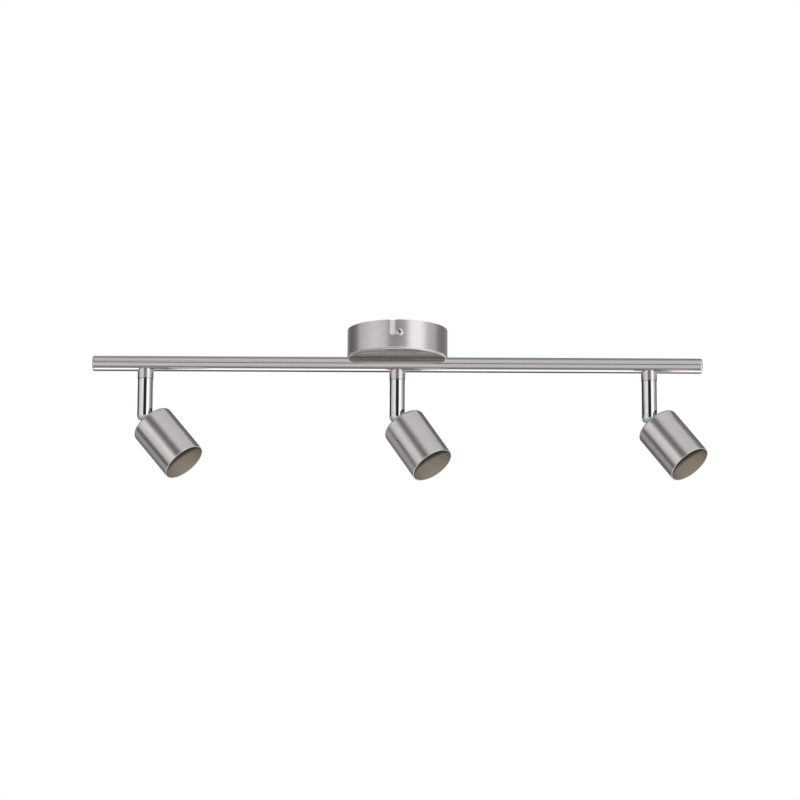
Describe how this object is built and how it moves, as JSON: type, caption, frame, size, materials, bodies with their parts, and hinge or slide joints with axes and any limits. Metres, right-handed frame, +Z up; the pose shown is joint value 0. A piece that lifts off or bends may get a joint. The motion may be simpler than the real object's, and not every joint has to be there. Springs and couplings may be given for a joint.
{
  "type": "track lighting fixture",
  "caption": "Ceiling spotlight bar: round canopy on a bracket, straight tubular rail, and short swivelling stems with tilting cylindrical lamp cups.",
  "frame": {"origin": "centre of the ceiling plane, on the bracket's top face", "axes": "+Z up into the ceiling, +X along the rail, -Y towards the side whose canopy slot and screw face the viewer"},
  "size_m": [0.7645, 0.131, 0.1928],
  "materials": {
    "block_plastic": "moulded white nylon",
    "brass": "machined brass",
    "ceramic": null,
    "chrome_plate": "bright chrome plate",
    "lead_sleeve": "heat-proof silicone sleeve",
    "satin_nickel": "satin nickel plate on steel",
    "washer_nylon": "black nylon",
    "zinc_casting": "polished and plated zinc casting",
    "zinc_plated_steel": "bright zinc plate on steel"
  },
  "bodies": {
    "fixture": {"canopy": "satin_nickel", "canopy_screws": "chrome_plate", "collar_left": "satin_nickel", "collar_middle": "satin_nickel", "collar_right": "satin_nickel", "earth_screw": "brass", "end_cap_left": "chrome_plate", "end_cap_right": "chrome_plate", "mounting_bracket": "zinc_plated_steel", "nipple_nuts": "zinc_plated_steel", "rail_leads": "lead_sleeve", "rail_nipples": "zinc_plated_steel", "rail_nuts": "zinc_plated_steel", "rail_tube": "satin_nickel", "saddle_washers": "zinc_plated_steel", "stop_pins": "zinc_plated_steel", "swivel_nipples": "brass", "wave_washers": "zinc_plated_steel", "wiring_block": "block_plastic", "wiring_clamps": "brass"},
    "stem_left_arm": {"friction_washers_left": "washer_nylon", "stem_lead_left": "lead_sleeve", "stem_left": "chrome_plate", "swivel_bush_left": "brass", "tilt_pin_left": "chrome_plate"},
    "head_left": {"head_shell_left": "satin_nickel", "hinge_lug_left": "zinc_casting", "holder_contacts_left": "brass", "holder_plate_left": "zinc_plated_steel", "holder_screws_left": "zinc_plated_steel", "lamp_leads_left": "lead_sleeve", "lampholder_left": "ceramic", "lug_nut_left": "zinc_plated_steel"},
    "stem_middle_arm": {"friction_washers_middle": "washer_nylon", "stem_lead_middle": "lead_sleeve", "stem_middle": "chrome_plate", "swivel_bush_middle": "brass", "tilt_pin_middle": "chrome_plate"},
    "head_middle": {"head_shell_middle": "satin_nickel", "hinge_lug_middle": "zinc_casting", "holder_contacts_middle": "brass", "holder_plate_middle": "zinc_plated_steel", "holder_screws_middle": "zinc_plated_steel", "lamp_leads_middle": "lead_sleeve", "lampholder_middle": "ceramic", "lug_nut_middle": "zinc_plated_steel"},
    "stem_right_arm": {"friction_washers_right": "washer_nylon", "stem_lead_right": "lead_sleeve", "stem_right": "chrome_plate", "swivel_bush_right": "brass", "tilt_pin_right": "chrome_plate"},
    "head_right": {"head_shell_right": "satin_nickel", "hinge_lug_right": "zinc_casting", "holder_contacts_right": "brass", "holder_plate_right": "zinc_plated_steel", "holder_screws_right": "zinc_plated_steel", "lamp_leads_right": "lead_sleeve", "lampholder_right": "ceramic", "lug_nut_right": "zinc_plated_steel"}
  },
  "joints": [
    {"name": "swivel_left", "type": "hinge", "parent": "fixture", "child": "stem_left_arm", "pos_m": [-0.314, 0, -0.0633], "axis": [0, 0, 1], "range_deg": [-232, 98]},
    {"name": "tilt_left", "type": "hinge", "parent": "stem_left_arm", "child": "head_left", "pos_m": [-0.314, 0, -0.1085], "axis": [-0.3907, -0.9205, 0], "range_deg": [-131.1, 48.9]},
    {"name": "swivel_middle", "type": "hinge", "parent": "fixture", "child": "stem_middle_arm", "pos_m": [0, 0, -0.0633], "axis": [0, 0, 1], "range_deg": [-222.4, 107.6]},
    {"name": "tilt_middle", "type": "hinge", "parent": "stem_middle_arm", "child": "head_middle", "pos_m": [0, 0, -0.1085], "axis": [-0.5388, -0.8425, 0], "range_deg": [-127.4, 52.6]},
    {"name": "swivel_right", "type": "hinge", "parent": "fixture", "child": "stem_right_arm", "pos_m": [0.314, 0, -0.0633], "axis": [0, 0, 1], "range_deg": [-223.1, 106.9]},
    {"name": "tilt_right", "type": "hinge", "parent": "stem_right_arm", "child": "head_right", "pos_m": [0.314, 0, -0.1085], "axis": [-0.5284, -0.849, 0], "range_deg": [-130, 50]}
  ]
}
